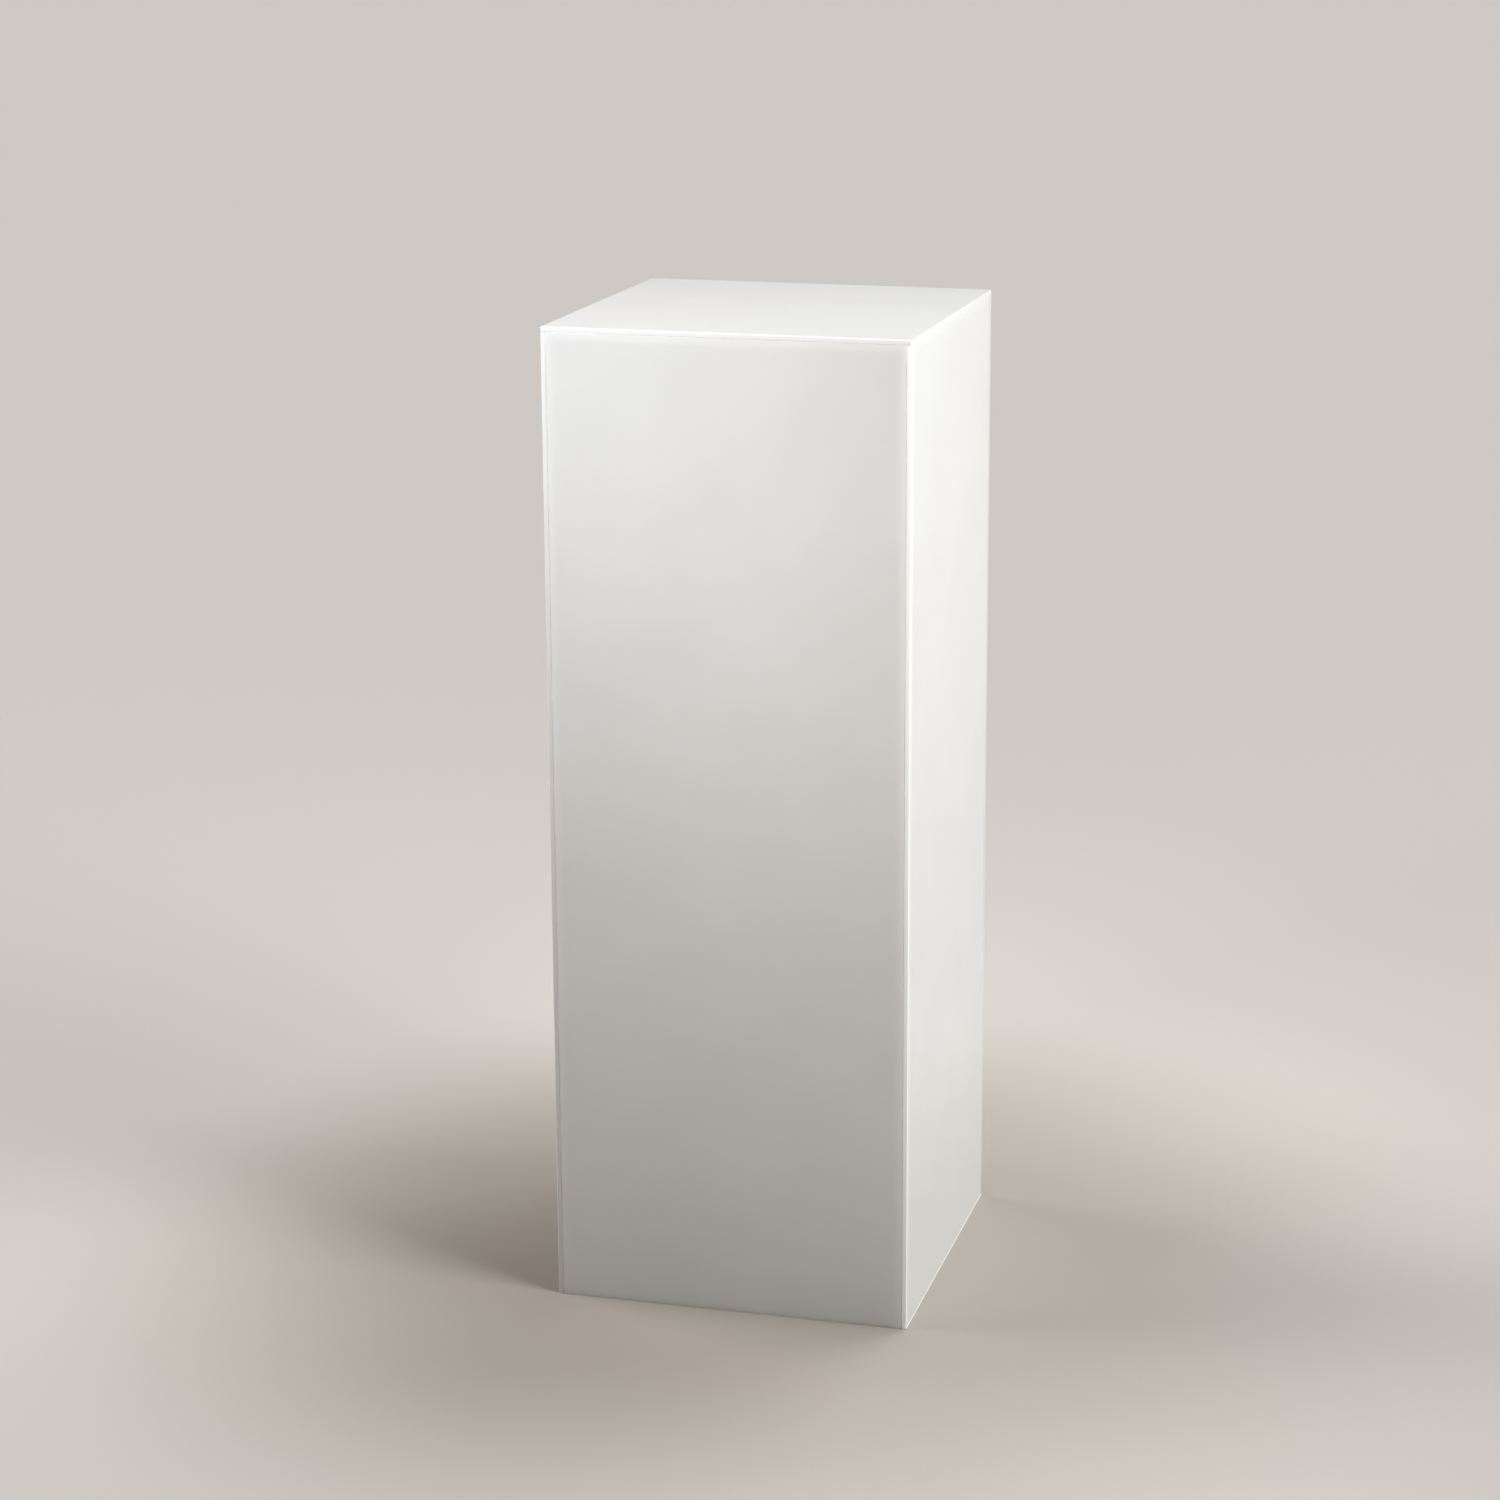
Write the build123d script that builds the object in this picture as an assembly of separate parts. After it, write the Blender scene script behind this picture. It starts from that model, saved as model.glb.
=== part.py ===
from build123d import *
import os

# A tall square display plinth in opal cast acrylic: four walls and a top, cut from sheet and
# cement-bonded edge to face, open at the base. Square bars of clear acrylic are bonded into
# the upright corners and under the rim of the top, where plain edges alone would be weak.
# Millimetres, +Z up, origin on the floor at the middle of the footprint, front towards -Y.

# Overall size
plinth_width = 330.0  # left to right, along X
plinth_depth = 330.0  # front to back, along Y
plinth_height = 900.0  # floor to display surface, along Z

# Cut sheet
wall_thickness = 4.5  # sheet of the four walls
top_thickness = 4.5  # sheet of the display surface
sheet_arris = 0.5  # bevel on the polished edges round each side that shows

# Reinforcing bars
corner_bar_side = 10.0  # square section of the bars in the upright corners
top_bar_side = 10.0  # square section of the bars under the top
bar_arris = 0.4  # bevel on the edges round each side of a bar that isn't bonded
corner_bar_lift = 12.0  # floor to the lower end of a corner bar
top_bar_end_gap = 0.5  # between each end of a top bar and the corner bar beside it

# Where the sheets meet
outer_x = plinth_width / 2
outer_y = plinth_depth / 2
inner_x = outer_x - wall_thickness
inner_y = outer_y - wall_thickness
wall_height = plinth_height - top_thickness

SIDES = {
    "left": (Axis.X, 0),
    "right": (Axis.X, -1),
    "front": (Axis.Y, 0),
    "back": (Axis.Y, -1),
    "bottom": (Axis.Z, 0),
    "top": (Axis.Z, -1),
}


def bevelled_block(x_span, y_span, z_span, shown_sides, bevel):
    """A block that fills three spans, bevelled round each of its shown sides."""
    spans = (x_span, y_span, z_span)
    size = [high - low for low, high in spans]
    middle = [(low + high) / 2 for low, high in spans]
    block = Pos(*middle) * Box(*size)
    shown_edges = ShapeList()
    for side in shown_sides:
        axis, place = SIDES[side]
        shown_edges += block.faces().sort_by(axis)[place].edges()
    return chamfer(shown_edges, bevel)


def top_panel():
    """The display surface, which lies over the upper edges of all four walls."""
    return bevelled_block(
        (-outer_x, outer_x),
        (-outer_y, outer_y),
        (wall_height, plinth_height),
        SIDES,
        sheet_arris,
    )


def front_panel():
    """The front wall, held between the two side walls and flush with their front edges."""
    return bevelled_block(
        (-inner_x, inner_x),
        (-outer_y, -inner_y),
        (0, wall_height),
        ("front", "bottom"),
        sheet_arris,
    )


def left_side_panel():
    """A side wall, the full depth of the plinth, so that its front and back edges show."""
    return bevelled_block(
        (-outer_x, -inner_x),
        (-outer_y, outer_y),
        (0, wall_height),
        ("left", "front", "back", "bottom"),
        sheet_arris,
    )


def front_left_corner_bar():
    """A bar in an upright corner, bonded to both walls and to the underside of the top."""
    return bevelled_block(
        (-inner_x, -inner_x + corner_bar_side),
        (-inner_y, -inner_y + corner_bar_side),
        (corner_bar_lift, wall_height),
        ("right", "back", "bottom"),
        bar_arris,
    )


def front_top_bar():
    """The bar along the top of the front wall, dropped in between two corner bars."""
    half_length = inner_x - corner_bar_side - top_bar_end_gap
    return bevelled_block(
        (-half_length, half_length),
        (-inner_y, -inner_y + top_bar_side),
        (wall_height - top_bar_side, wall_height),
        ("left", "right", "back", "bottom"),
        bar_arris,
    )


def left_top_bar():
    """The bar along the top of a side wall, dropped in between two corner bars."""
    half_length = inner_y - corner_bar_side - top_bar_end_gap
    return bevelled_block(
        (-inner_x, -inner_x + top_bar_side),
        (-half_length, half_length),
        (wall_height - top_bar_side, wall_height),
        ("front", "back", "right", "bottom"),
        bar_arris,
    )


# Opposite walls and bars are mirror images across the plinth's middle planes.
pieces = {
    "top_panel": top_panel(),
    "front_panel": front_panel(),
    "left_side_panel": left_side_panel(),
    "front_left_corner_bar": front_left_corner_bar(),
    "front_top_bar": front_top_bar(),
    "left_top_bar": left_top_bar(),
}
pieces["back_panel"] = pieces["front_panel"].mirror(Plane.XZ)
pieces["right_side_panel"] = pieces["left_side_panel"].mirror(Plane.YZ)
pieces["back_top_bar"] = pieces["front_top_bar"].mirror(Plane.XZ)
pieces["right_top_bar"] = pieces["left_top_bar"].mirror(Plane.YZ)
pieces["front_right_corner_bar"] = pieces["front_left_corner_bar"].mirror(Plane.YZ)
pieces["back_left_corner_bar"] = pieces["front_left_corner_bar"].mirror(Plane.XZ)
pieces["back_right_corner_bar"] = pieces["front_right_corner_bar"].mirror(Plane.XZ)

os.makedirs("parts", exist_ok=True)
for name, piece in pieces.items():
    export_step(piece, f"parts/{name}.step")
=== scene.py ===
import math

import bpy
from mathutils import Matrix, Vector


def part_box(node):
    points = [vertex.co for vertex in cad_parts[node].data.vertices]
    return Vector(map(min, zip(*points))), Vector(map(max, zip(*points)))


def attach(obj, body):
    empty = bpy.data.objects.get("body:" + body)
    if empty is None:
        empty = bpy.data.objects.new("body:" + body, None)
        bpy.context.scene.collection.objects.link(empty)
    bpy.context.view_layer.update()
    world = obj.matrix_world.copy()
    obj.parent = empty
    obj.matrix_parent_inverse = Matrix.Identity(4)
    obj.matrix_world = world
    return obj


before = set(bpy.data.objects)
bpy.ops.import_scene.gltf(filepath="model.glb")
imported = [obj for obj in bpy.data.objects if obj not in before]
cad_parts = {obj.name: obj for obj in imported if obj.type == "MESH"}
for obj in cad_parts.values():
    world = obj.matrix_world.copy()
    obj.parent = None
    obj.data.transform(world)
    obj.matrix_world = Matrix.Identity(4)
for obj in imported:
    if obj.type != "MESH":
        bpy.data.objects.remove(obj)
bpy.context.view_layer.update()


# Side walls.
# Two sheets of opal cast acrylic, the full depth of the plinth, sawn to size and diamond polished
# on every edge. They lap the ends of the front and back walls, so their own edges show as strips.
side_low, side_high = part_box("right_side_panel")
half_depth = side_high.y
wall_height = side_high.z
bars_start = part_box("front_right_corner_bar")[0].x
rim_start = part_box("front_top_bar")[0].z
cloud_size = 0.09
scuff_size = 0.012
scuff_and_shade_height = 0.006
cutter_pitch = 0.0012
hair_width = 0.0015
hair_length = 0.12
swell_length = 0.06
swell_depth = 0.00003
soak_depth = 0.002
margin_lean = 0.5
acrylic_ior = 1.49
squarely = 0.9
# Painted light: pale colours for the walls' cut edges, in place of the light the sheet carries out to
# them.
wall_edge_glow_tints = ("#F5F5F4", "#FCFCFB")


def linear(hex_colour):
    """An sRGB hex colour as linear RGBA."""
    channels = [int(hex_colour[i:i + 2], 16) / 255 for i in (1, 3, 5)]
    return [c / 12.92 if c <= 0.04045 else ((c + 0.055) / 1.055) ** 2.4 for c in channels] + [1.0]


def add(tree, kind, inputs={}, **settings):
    """Adds one shader node. Inputs go by socket name or number, each a value or a socket to link."""
    node = tree.nodes.new("ShaderNode" + kind)
    for name, value in settings.items():
        setattr(node, name, value)
    for socket, value in inputs.items():
        if isinstance(value, bpy.types.NodeSocket):
            tree.links.new(value, node.inputs[socket])
        else:
            node.inputs[socket].default_value = value
    return node


def diamond_polished_opal_cast_acrylic(name, thin_way, margins, edge_glow_tints, stands_on_floor):
    """Acrylic cast between glass plates with white pigment in it.

    The eye sees a soft milky white that light soaks into and comes back out of, under a clear hard
    gloss. Painted light: its cut edges are painted palest, and a little paler where a clear bar lies
    behind it, in place of the light the sheet carries out there.
    The thin way is X, Y or Z. Each margin is an axis, the distance along it where the margin starts,
    the distance where it is full, and how much of the cut edges' painted light it then has. Distances
    are from the plinth's middle along X and Y, and from the floor along Z.
    """
    material = bpy.data.materials.new(name)
    material.use_nodes = True
    tree = material.node_tree
    shader = tree.nodes["Principled BSDF"]
    texture = add(tree, "TexCoord")
    point = texture.outputs["Object"]
    at = add(tree, "SeparateXYZ", {"Vector": point})
    facing = add(tree, "SeparateXYZ", {"Vector": texture.outputs["Normal"]})

    # The broad faces look along the thin way; cut edges and their bevels look another way.
    squareness = add(tree, "Math", {0: facing.outputs[thin_way]}, operation="ABSOLUTE")
    cut = add(tree, "Math", {0: squareness.outputs[0], 1: squarely}, operation="LESS_THAN").outputs[0]

    # Pigment settles a little unevenly in the casting, in clouds about 90 mm across.
    clouds = add(tree, "TexNoise", {"Vector": point, "Scale": 1 / cloud_size, "Detail": 2.0})
    cloudy = add(tree, "MapRange", {"Value": clouds.outputs["Fac"], "From Min": 0.3, "From Max": 0.7})
    body = add(
        tree,
        "Mix",
        {"Factor": cloudy.outputs["Result"], 6: linear("#D9D9D8"), 7: linear("#DCDCDB")},
        data_type="RGBA",
    ).outputs[2]

    # The diamond cutter leaves lines 0.1 mm apart across each edge, drawn 1.2 mm apart to show.
    along = add(tree, "Math", {0: at.outputs["X"], 1: at.outputs["Y"]}, operation="ADD")
    run = add(tree, "Math", {0: along.outputs[0], 1: at.outputs["Z"]}, operation="ADD")
    cutter_lines = add(
        tree,
        "TexNoise",
        {"W": run.outputs[0], "Scale": 1 / cutter_pitch, "Detail": 1.0},
        noise_dimensions="1D",
    ).outputs["Fac"]
    # Painted light: the cut edges are painted paler than the sheet. The cutter lines vary that colour.
    edge = add(
        tree,
        "Mix",
        {"Factor": cutter_lines, 6: linear(edge_glow_tints[0]), 7: linear(edge_glow_tints[1])},
        data_type="RGBA",
    ).outputs[2]

    # A sheet carries the light that falls on its broad outer face along to its cut edges. So a cut
    # edge is shaded as if it leaned outwards.
    side = add(tree, "Math", {0: at.outputs[thin_way]}, operation="SIGN")
    edge_lean = add(tree, "Math", {0: side.outputs[0], 1: cut}, operation="MULTIPLY")
    leaning = {thin_way: edge_lean.outputs[0]}

    # Where a bar or a bevel lies behind a margin, light comes out there too. That light is painted in
    # as a paler colour, and the margin is shaded as if it leaned a little.
    margin = 0.0
    painted_glow = 0.0
    for axis, start, end, strength in margins:
        outward = add(tree, "Math", {0: at.outputs[axis]}, operation="ABSOLUTE")
        rise = add(
            tree,
            "MapRange",
            {"Value": outward.outputs[0], "From Min": start, "From Max": end},
            interpolation_type="SMOOTHSTEP",
        ).outputs["Result"]
        margin = add(tree, "Math", {0: margin, 1: rise}, operation="MAXIMUM").outputs[0]
        margin_glow = add(tree, "Math", {0: rise, 1: strength}, operation="MULTIPLY").outputs[0]
        painted_glow = add(tree, "Math", {0: painted_glow, 1: margin_glow}, operation="MAXIMUM").outputs[0]
        way = add(tree, "Math", {0: at.outputs[axis]}, operation="SIGN")
        bent = add(tree, "Math", {0: way.outputs[0], 1: margin_glow}, operation="MULTIPLY")
        before = leaning.get(axis, 0.0)
        leaning[axis] = add(
            tree,
            "Math",
            {0: bent.outputs[0], 1: margin_lean, 2: before},
            operation="MULTIPLY_ADD",
        ).outputs[0]
    face = add(tree, "Mix", {"Factor": painted_glow, 6: body, 7: edge}, data_type="RGBA").outputs[2]

    # Floors scuff the foot of a wall: a broken grey line up to 6 mm high. It is partly real wear and
    # partly painted shade where the wall meets the floor.
    if stands_on_floor:
        scuffs_and_shade = add(tree, "TexNoise", {"Vector": point, "Scale": 1 / scuff_size, "Detail": 4.0})
        height = add(
            tree,
            "MapRange",
            {"Value": at.outputs["Z"], "From Max": scuff_and_shade_height, "To Min": 0.25, "To Max": 0.0},
        )
        worn_and_shaded = add(
            tree,
            "Math",
            {0: scuffs_and_shade.outputs["Fac"], 1: height.outputs["Result"]},
            operation="MULTIPLY",
        )
        face = add(
            tree,
            "Mix",
            {"Factor": worn_and_shaded.outputs[0], 6: face, 7: linear("#A39B91")},
            data_type="RGBA",
        ).outputs[2]

    colour = add(tree, "Mix", {"Factor": cut, 6: face, 7: edge}, data_type="RGBA").outputs[2]
    tree.links.new(colour, shader.inputs["Base Color"])

    # Wiping leaves faint upright hairlines, 0.05 mm wide on the sheet and drawn 1.5 mm wide to show.
    # On the top they come out as specks.
    hair_scale = (1 / hair_width, 1 / hair_width, 1 / hair_length)
    wiped = add(tree, "Mapping", {"Vector": point, "Scale": hair_scale})
    hairs = add(tree, "TexNoise", {"Vector": wiped.outputs["Vector"], "Scale": 1.0, "Detail": 2.0})
    hazed = add(
        tree,
        "MapRange",
        {
            "Value": hairs.outputs["Fac"],
            "From Min": 0.55,
            "From Max": 0.75,
            "To Min": 0.045,
            "To Max": 0.11,
        },
    )
    roughness = add(tree, "Mix", {"Factor": cut, 2: hazed.outputs["Result"], 3: 0.14})
    tree.links.new(roughness.outputs[0], shader.inputs["Roughness"])

    # Cast sheet is never quite flat: its faces swell by about 0.03 mm every 60 mm.
    swell = add(tree, "TexNoise", {"Vector": point, "Scale": 1 / swell_length, "Detail": 0.0})
    cut_relief = add(tree, "Math", {0: cutter_lines, 1: 0.12}, operation="MULTIPLY")
    relief = add(tree, "Mix", {"Factor": cut, 2: swell.outputs["Fac"], 3: cut_relief.outputs[0]})
    bump = add(tree, "Bump", {"Height": relief.outputs[0], "Distance": swell_depth})
    inside = add(tree, "CombineXYZ", leaning)
    lean = add(
        tree,
        "VectorTransform",
        {"Vector": inside.outputs["Vector"]},
        vector_type="VECTOR",
        convert_from="OBJECT",
        convert_to="WORLD",
    )
    leant = add(
        tree,
        "VectorMath",
        {0: bump.outputs["Normal"], 1: lean.outputs["Vector"]},
        operation="ADD",
    )
    normal = add(tree, "VectorMath", {0: leant.outputs["Vector"]}, operation="NORMALIZE")
    tree.links.new(normal.outputs["Vector"], shader.inputs["Normal"])

    # Light soaks in about 2 mm deep on the open faces. That fades to nothing on the margins and the
    # cut edges, which get painted light and are shaded as leaning instead.
    outer = add(tree, "Math", {0: margin, 1: cut}, operation="MAXIMUM")
    soaked = add(
        tree,
        "MapRange",
        {"Value": outer.outputs[0], "From Min": 0.0, "From Max": 0.7, "To Min": 0.85, "To Max": 0.0},
    )
    tree.links.new(soaked.outputs["Result"], shader.inputs["Subsurface Weight"])
    shader.inputs["Subsurface Radius"].default_value = (1.0, 0.98, 0.96)
    shader.inputs["Subsurface Scale"].default_value = soak_depth
    shader.inputs["IOR"].default_value = acrylic_ior
    return material


def give(node, material):
    """Puts a material on a piece of the frame."""
    node.data.materials.clear()
    node.data.materials.append(material)


# Painted light: margins beside the corner joints and under the top are painted a little paler.
glow_beside_a_joint = 0.22
glow_under_the_top = ("Z", rim_start, wall_height, 0.07)
# Painted highlight: a pale line along the foot of each side wall.
painted_foot_highlight = ("Z", 0.0025, 0.0012, 1.0)
side_sheet = diamond_polished_opal_cast_acrylic(
    "opal_acrylic_side_sheet",
    "X",
    [("Y", bars_start, half_depth, glow_beside_a_joint), glow_under_the_top, painted_foot_highlight],
    wall_edge_glow_tints,
    True,
)
for side in ("left", "right"):
    give(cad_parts[f"{side}_side_panel"], side_sheet)


# Front and back walls.
# Two sheets of the same opal acrylic, held between the side walls and flush with their edges.
# Solvent cement bonds their cut ends to the side walls' inner faces.
end_sheet = diamond_polished_opal_cast_acrylic(
    "opal_acrylic_front_and_back_sheet",
    "Y",
    [("X", bars_start, half_depth, glow_beside_a_joint), glow_under_the_top],
    wall_edge_glow_tints,
    True,
)
for side in ("front", "back"):
    give(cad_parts[f"{side}_panel"], end_sheet)


# Corner bars.
# Four square bars sawn from clear cast acrylic, bonded upright into the corners. Each joins two
# walls and the top, and stops short of the floor.
saw_pitch = 0.0008


def sawn_clear_cast_acrylic(name, length_way):
    """Clear acrylic bar: polished along its sides and left as the saw cut it at its ends.

    The eye looks straight through the sides, which show only as bright lines, and meets a frosted
    white square at each end.
    """
    material = bpy.data.materials.new(name)
    material.use_nodes = True
    tree = material.node_tree
    shader = tree.nodes["Principled BSDF"]
    texture = add(tree, "TexCoord")
    point = texture.outputs["Object"]
    facing = add(tree, "SeparateXYZ", {"Vector": texture.outputs["Normal"]})
    squareness = add(tree, "Math", {0: facing.outputs[length_way]}, operation="ABSOLUTE")
    sawn = add(tree, "Math", {0: squareness.outputs[0], 1: squarely}, operation="GREATER_THAN")

    # Saw teeth score the ends 0.4 mm apart, drawn 0.8 mm apart. The sides keep a faint trace of it.
    scores = add(tree, "TexNoise", {"Vector": point, "Scale": 1 / saw_pitch, "Detail": 3.0})
    frosted = add(
        tree,
        "MapRange",
        {
            "Value": scores.outputs["Fac"],
            "From Min": 0.3,
            "From Max": 0.7,
            "To Min": 0.35,
            "To Max": 0.6,
        },
    )
    roughness = add(tree, "Mix", {"Factor": sawn.outputs[0], 2: 0.02, 3: frosted.outputs["Result"]})
    tree.links.new(roughness.outputs[0], shader.inputs["Roughness"])
    colour = add(
        tree,
        "Mix",
        {"Factor": sawn.outputs[0], 6: linear("#FCFEFD"), 7: linear("#F1F3F2")},
        data_type="RGBA",
    )
    tree.links.new(colour.outputs[2], shader.inputs["Base Color"])
    bump = add(tree, "Bump", {"Height": scores.outputs["Fac"], "Distance": 0.00002})
    tree.links.new(bump.outputs["Normal"], shader.inputs["Normal"])
    shader.inputs["IOR"].default_value = acrylic_ior
    shader.inputs["Transmission Weight"].default_value = 1.0
    return material


upright_bar = sawn_clear_cast_acrylic("clear_acrylic_upright_bar", "Z")
for end in ("front", "back"):
    for side in ("left", "right"):
        give(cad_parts[f"{end}_{side}_corner_bar"], upright_bar)


# Top bars.
# Four lengths of the same clear bar, bonded along the top of each wall and to the underside of
# the top, dropped in between the corner bars.
crosswise_bar = sawn_clear_cast_acrylic("clear_acrylic_crosswise_bar", "X")
for end in ("front", "back"):
    give(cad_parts[f"{end}_top_bar"], crosswise_bar)

lengthwise_bar = sawn_clear_cast_acrylic("clear_acrylic_lengthwise_bar", "Y")
for side in ("left", "right"):
    give(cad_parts[f"{side}_top_bar"], lengthwise_bar)


# Top.
# One square of opal acrylic that lies over all four walls, with its four cut edges showing. It is
# bonded to the walls' upper edges and to the bars.
# Its margins over the bars get no painted glow: only the soaking in fades out there.
top_margin_glow = 0.0
# Painted light: its cut edges are painted only a little paler than its face.
top_edge_glow_tints = ("#DEDEDD", "#E4E4E3")
top_sheet = diamond_polished_opal_cast_acrylic(
    "opal_acrylic_top_sheet",
    "Z",
    [("X", bars_start, half_depth, top_margin_glow), ("Y", bars_start, half_depth, top_margin_glow)],
    top_edge_glow_tints,
    False,
)
give(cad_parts["top_panel"], top_sheet)


# Cement lines.
# Solvent cement creeps into the small V between two bevelled edges and cures there as a thin bead
# of acrylic with a hollow face. One runs up each flush corner joint and one under each edge of the
# top.
bevel = 0.0005
bead_clearance = 0.00001
bead_step = 0.012
bead_profile = 6
usual_fill = 0.84
edge_clearance = 0.96
dust_run = 0.008
joint_x = side_low.x


def cured_acrylic_cement(name):
    """Solvent cement, cured in the joint: a pale grey line with dust in it, glossy as if wet."""
    material = bpy.data.materials.new(name)
    material.use_nodes = True
    tree = material.node_tree
    shader = tree.nodes["Principled BSDF"]
    point = add(tree, "TexCoord").outputs["Object"]
    # Dust and tiny bubbles caught in the bead, in runs about 8 mm long.
    dust = add(tree, "TexNoise", {"Vector": point, "Scale": 1 / dust_run, "Detail": 3.0})
    spread = add(tree, "MapRange", {"Value": dust.outputs["Fac"], "From Min": 0.3, "From Max": 0.7})
    colour = add(
        tree,
        "Mix",
        {"Factor": spread.outputs["Result"], 6: linear("#D6D4D1"), 7: linear("#E4E2DF")},
        data_type="RGBA",
    )
    tree.links.new(colour.outputs[2], shader.inputs["Base Color"])
    roughness = add(
        tree,
        "MapRange",
        {"Value": dust.outputs["Fac"], "From Min": 0.3, "From Max": 0.7, "To Min": 0.12, "To Max": 0.3},
    )
    tree.links.new(roughness.outputs["Result"], shader.inputs["Roughness"])
    shader.inputs["IOR"].default_value = acrylic_ior
    return material


cement = cured_acrylic_cement("cured_acrylic_cement")


def cement_bead(name, root, end, inward, across):
    """A bead along the bottom of a V, from root to end. Inward points into the V, across over it.

    It fills between 72% and 96% of the V, more in one place than in another.
    """
    root, end, inward, across = Vector(root), Vector(end), Vector(inward), Vector(across)
    steps = round((end - root).length / bead_step)
    points = []
    for i in range(steps + 1):
        share = i / steps
        centre = root.lerp(end, share) - inward * bead_clearance
        run = share * (end - root).length
        long_wave = 0.07 * math.sin(run * 61 + root.x * 90)
        short_wave = 0.05 * math.sin(run * 173 + root.z * 40)
        fill = bevel * (usual_fill + long_wave + short_wave)
        for j in range(bead_profile + 1):
            slide = 2 * j / bead_profile - 1
            hollow = fill * (0.75 + 0.25 * slide * slide)
            points.append(centre + across * (slide * fill * edge_clearance) - inward * hollow)
        points.append(centre)
    ring = bead_profile + 2
    faces = []
    for i in range(steps):
        for j in range(ring):
            a = i * ring + j
            b = i * ring + (j + 1) % ring
            faces.append((a, b, b + ring, a + ring))
    faces.append(tuple(range(ring - 1, -1, -1)))
    faces.append(tuple(range(steps * ring, steps * ring + ring)))
    mesh = bpy.data.meshes.new(name)
    mesh.from_pydata(points, [], faces)
    mesh.validate()
    mesh.update()
    for face in mesh.polygons:
        face.use_smooth = len(face.vertices) == 4
    mesh.materials.append(cement)
    bead = bpy.data.objects.new(name, mesh)
    bpy.context.scene.collection.objects.link(bead)
    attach(bead, "root")


for end, outward in (("front", -1), ("back", 1)):
    for side, way in (("left", -1), ("right", 1)):
        root_y = outward * (half_depth - bevel)
        cement_bead(
            f"{end}_{side}_joint_cement",
            (way * joint_x, root_y, bevel * 2),
            (way * joint_x, root_y, wall_height - bevel * 2),
            (0, -outward, 0),
            (1, 0, 0),
        )
for name, normal, along in (
    ("front", (0, -1), (1, 0)),
    ("back", (0, 1), (1, 0)),
    ("left", (-1, 0), (0, 1)),
    ("right", (1, 0), (0, 1)),
):
    out = Vector((*normal, 0)) * (half_depth - bevel)
    half_run = Vector((*along, 0)) * (half_depth - bevel * 2)
    level = Vector((0, 0, wall_height))
    cement_bead(
        f"{name}_top_joint_cement",
        out - half_run + level,
        out + half_run + level,
        (-normal[0], -normal[1], 0),
        (0, 0, 1),
    )


# Floor.
# A wide flat sheet of matt studio paper, laid under the plinth and far out on every side. It isn't
# part of the plinth.
floor_reach = 40.0
fibre_pitch = 0.003
painted_shade_within = 0.28
painted_shade_ends_at = 0.75
floor_mesh = bpy.data.meshes.new("studio_floor")
floor_mesh.from_pydata(
    [
        (-floor_reach, -floor_reach, 0),
        (floor_reach, -floor_reach, 0),
        (floor_reach, floor_reach, 0),
        (-floor_reach, floor_reach, 0),
    ],
    [],
    [(0, 1, 2, 3)],
)
floor = bpy.data.objects.new("studio_floor", floor_mesh)
bpy.context.scene.collection.objects.link(floor)


def matt_studio_paper(name):
    """Uncoated background paper: dead matt and a pale warm grey, with painted shade close round the
    plinth.
    """
    material = bpy.data.materials.new(name)
    material.use_nodes = True
    tree = material.node_tree
    shader = tree.nodes["Principled BSDF"]
    point = add(tree, "TexCoord").outputs["Object"]
    reach = add(tree, "VectorMath", {0: point}, operation="LENGTH")
    # Painted shade: darkest within 0.28 m of the plinth, fading to the paper's own grey by 0.75 m.
    out_of_painted_shade = add(
        tree,
        "MapRange",
        {"Value": reach.outputs["Value"], "From Min": painted_shade_within, "From Max": painted_shade_ends_at},
        interpolation_type="SMOOTHSTEP",
    )
    ground = add(
        tree,
        "Mix",
        {"Factor": out_of_painted_shade.outputs["Result"], 6: linear("#98928A"), 7: linear("#B8B3AE")},
        data_type="RGBA",
    )
    # Paper fibres, 0.5 mm apart and drawn 3 mm apart to show.
    fibres = add(tree, "TexNoise", {"Vector": point, "Scale": 1 / fibre_pitch, "Detail": 3.0})
    speckle = add(
        tree,
        "MapRange",
        {
            "Value": fibres.outputs["Fac"],
            "From Min": 0.2,
            "From Max": 0.8,
            "To Min": 0.985,
            "To Max": 1.015,
        },
    )
    colour = add(
        tree,
        "VectorMath",
        {0: ground.outputs[2], "Scale": speckle.outputs["Result"]},
        operation="SCALE",
    )
    tree.links.new(colour.outputs["Vector"], shader.inputs["Base Color"])
    shader.inputs["Roughness"].default_value = 0.9
    return material


floor_mesh.materials.append(matt_studio_paper("matt_studio_paper"))


# Room.
# The studio past the paper: pale where it is seen straight, much dimmer where the gloss of the
# acrylic mirrors it, and too dim to light the plinth by itself. It isn't part of the plinth.
seen_straight = 0.6
added_in_gloss = 0.13
as_a_light = 0.03
room = bpy.data.worlds.new("studio_room")
bpy.context.scene.world = room
room.use_nodes = True
ray = add(room.node_tree, "LightPath")
straight = add(
    room.node_tree,
    "MapRange",
    {"Value": ray.outputs["Is Camera Ray"], "To Min": as_a_light, "To Max": seen_straight},
)
in_gloss = add(
    room.node_tree,
    "Math",
    {0: ray.outputs["Is Glossy Ray"], 1: added_in_gloss, 2: straight.outputs["Result"]},
    operation="MULTIPLY_ADD",
)
backdrop = room.node_tree.nodes["Background"]
backdrop.inputs["Color"].default_value = linear("#FBF5F0")
room.node_tree.links.new(in_gloss.outputs[0], backdrop.inputs["Strength"])


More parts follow.
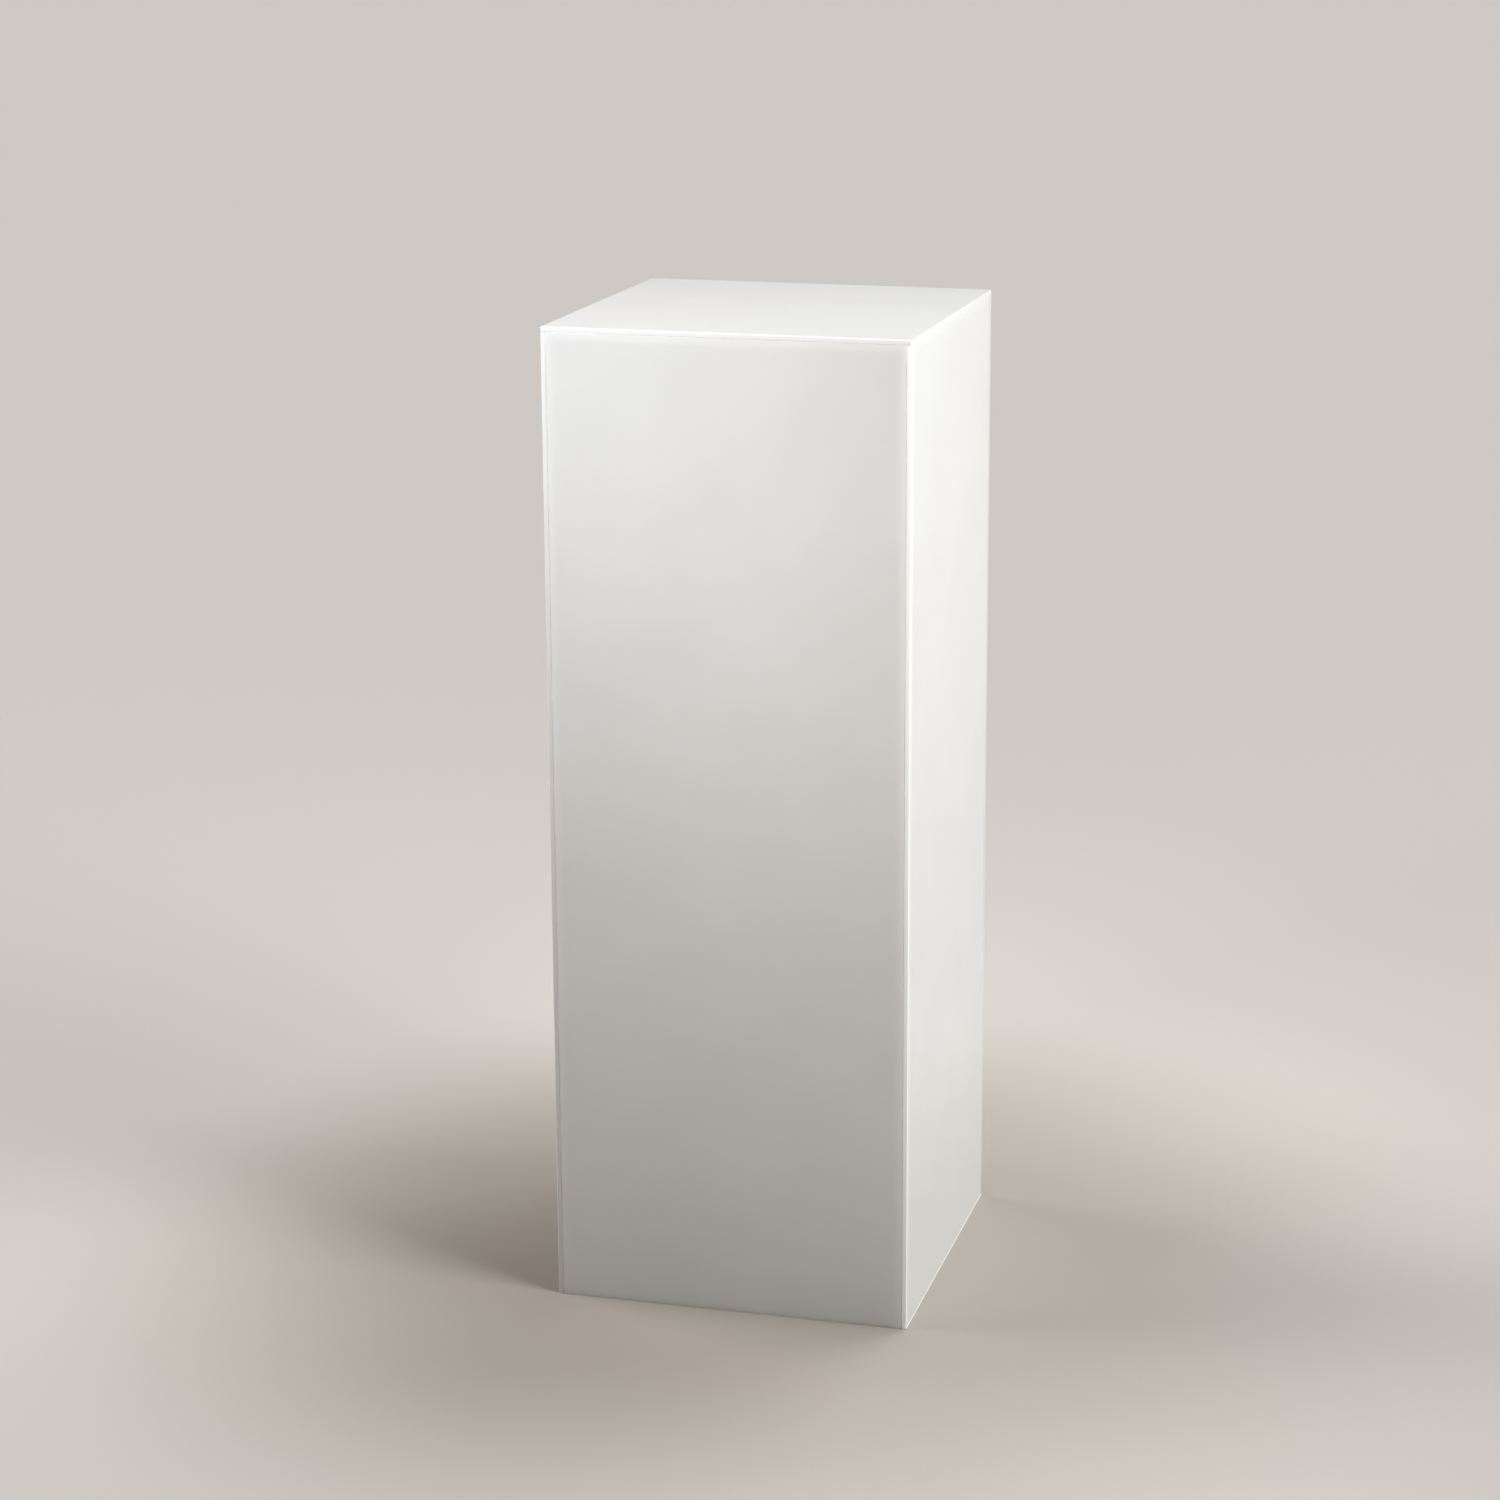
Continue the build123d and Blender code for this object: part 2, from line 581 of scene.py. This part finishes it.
# Lights.
# Soft daylight from the right, the back and the left, and four gridded softboxes close by that
# light the upper half of the plinth more than its foot. They aren't part of the plinth.
def window(name, azimuth, elevation, softness, strength, colour):
    """Even daylight from far off. Azimuth 0 comes from the front and 90 from the right, in degrees."""
    light = bpy.data.lights.new(name, "SUN")
    light.energy = strength
    light.color = linear(colour)[:3]
    light.angle = math.radians(softness)
    holder = bpy.data.objects.new(name, light)
    holder.rotation_euler = (math.radians(90 - elevation), 0, math.radians(azimuth))
    bpy.context.scene.collection.objects.link(holder)


def softbox(name, place, aim, size, spread, power, colour):
    """A gridded softbox, whose light falls off away from its aim."""
    light = bpy.data.lights.new(name, "AREA")
    light.energy = power
    light.color = linear(colour)[:3]
    light.size = size
    light.spread = math.radians(spread)
    holder = bpy.data.objects.new(name, light)
    holder.location = place
    holder.rotation_euler = (Vector(aim) - Vector(place)).to_track_quat("-Z", "Y").to_euler()
    holder.visible_camera = False
    bpy.context.scene.collection.objects.link(holder)


window("high_window", 80, 72, 19, 0.66, "#FFFBF8")
window("low_window", 80, 30, 40, 1.4, "#FFFEFD")
window("right_window", 110, 35, 40, 0.3, "#EBF5FF")
window("back_window", 150, 60, 32, 1.63, "#FBFDFF")
window("left_window", 270, 35, 40, 1.76, "#FFFEFE")
softbox("front_left_softbox", (-0.55, -0.85, 1.4), (-0.165, -0.165, 0.9), 0.4, 50, 0.77, "#EAF5FF")
softbox("front_softbox", (0, -1.1, 1.2), (0, -0.165, 0.7), 0.5, 60, 0.38, "#FFEBD8")
softbox("right_softbox", (1.1, -0.5, 1.6), (0.165, 0, 0.7), 0.6, 60, 2.12, "#FAFFFF")
softbox("left_softbox", (-1.1, 0, 1.6), (-0.165, 0, 0.7), 0.6, 60, 0.7, "#FFDDB8")


# Camera.
# An 85 mm lens, 1.34 m above the floor and a little right of the front, that looks 14 degrees down.
# It is shifted slightly to frame the plinth.
lens = bpy.data.cameras.new("camera")
lens.lens = 85.3
lens.sensor_width = 36.0
lens.shift_x = -0.0518
lens.shift_y = -0.0425
camera = bpy.data.objects.new("camera", lens)
camera.location = (0.82987, -3.06764, 1.34358)
camera.rotation_euler = (math.radians(90 - 14.0322), 0, math.radians(14.2672))
bpy.context.scene.collection.objects.link(camera)
bpy.context.scene.camera = camera
bpy.context.scene.view_settings.view_transform = "Standard"
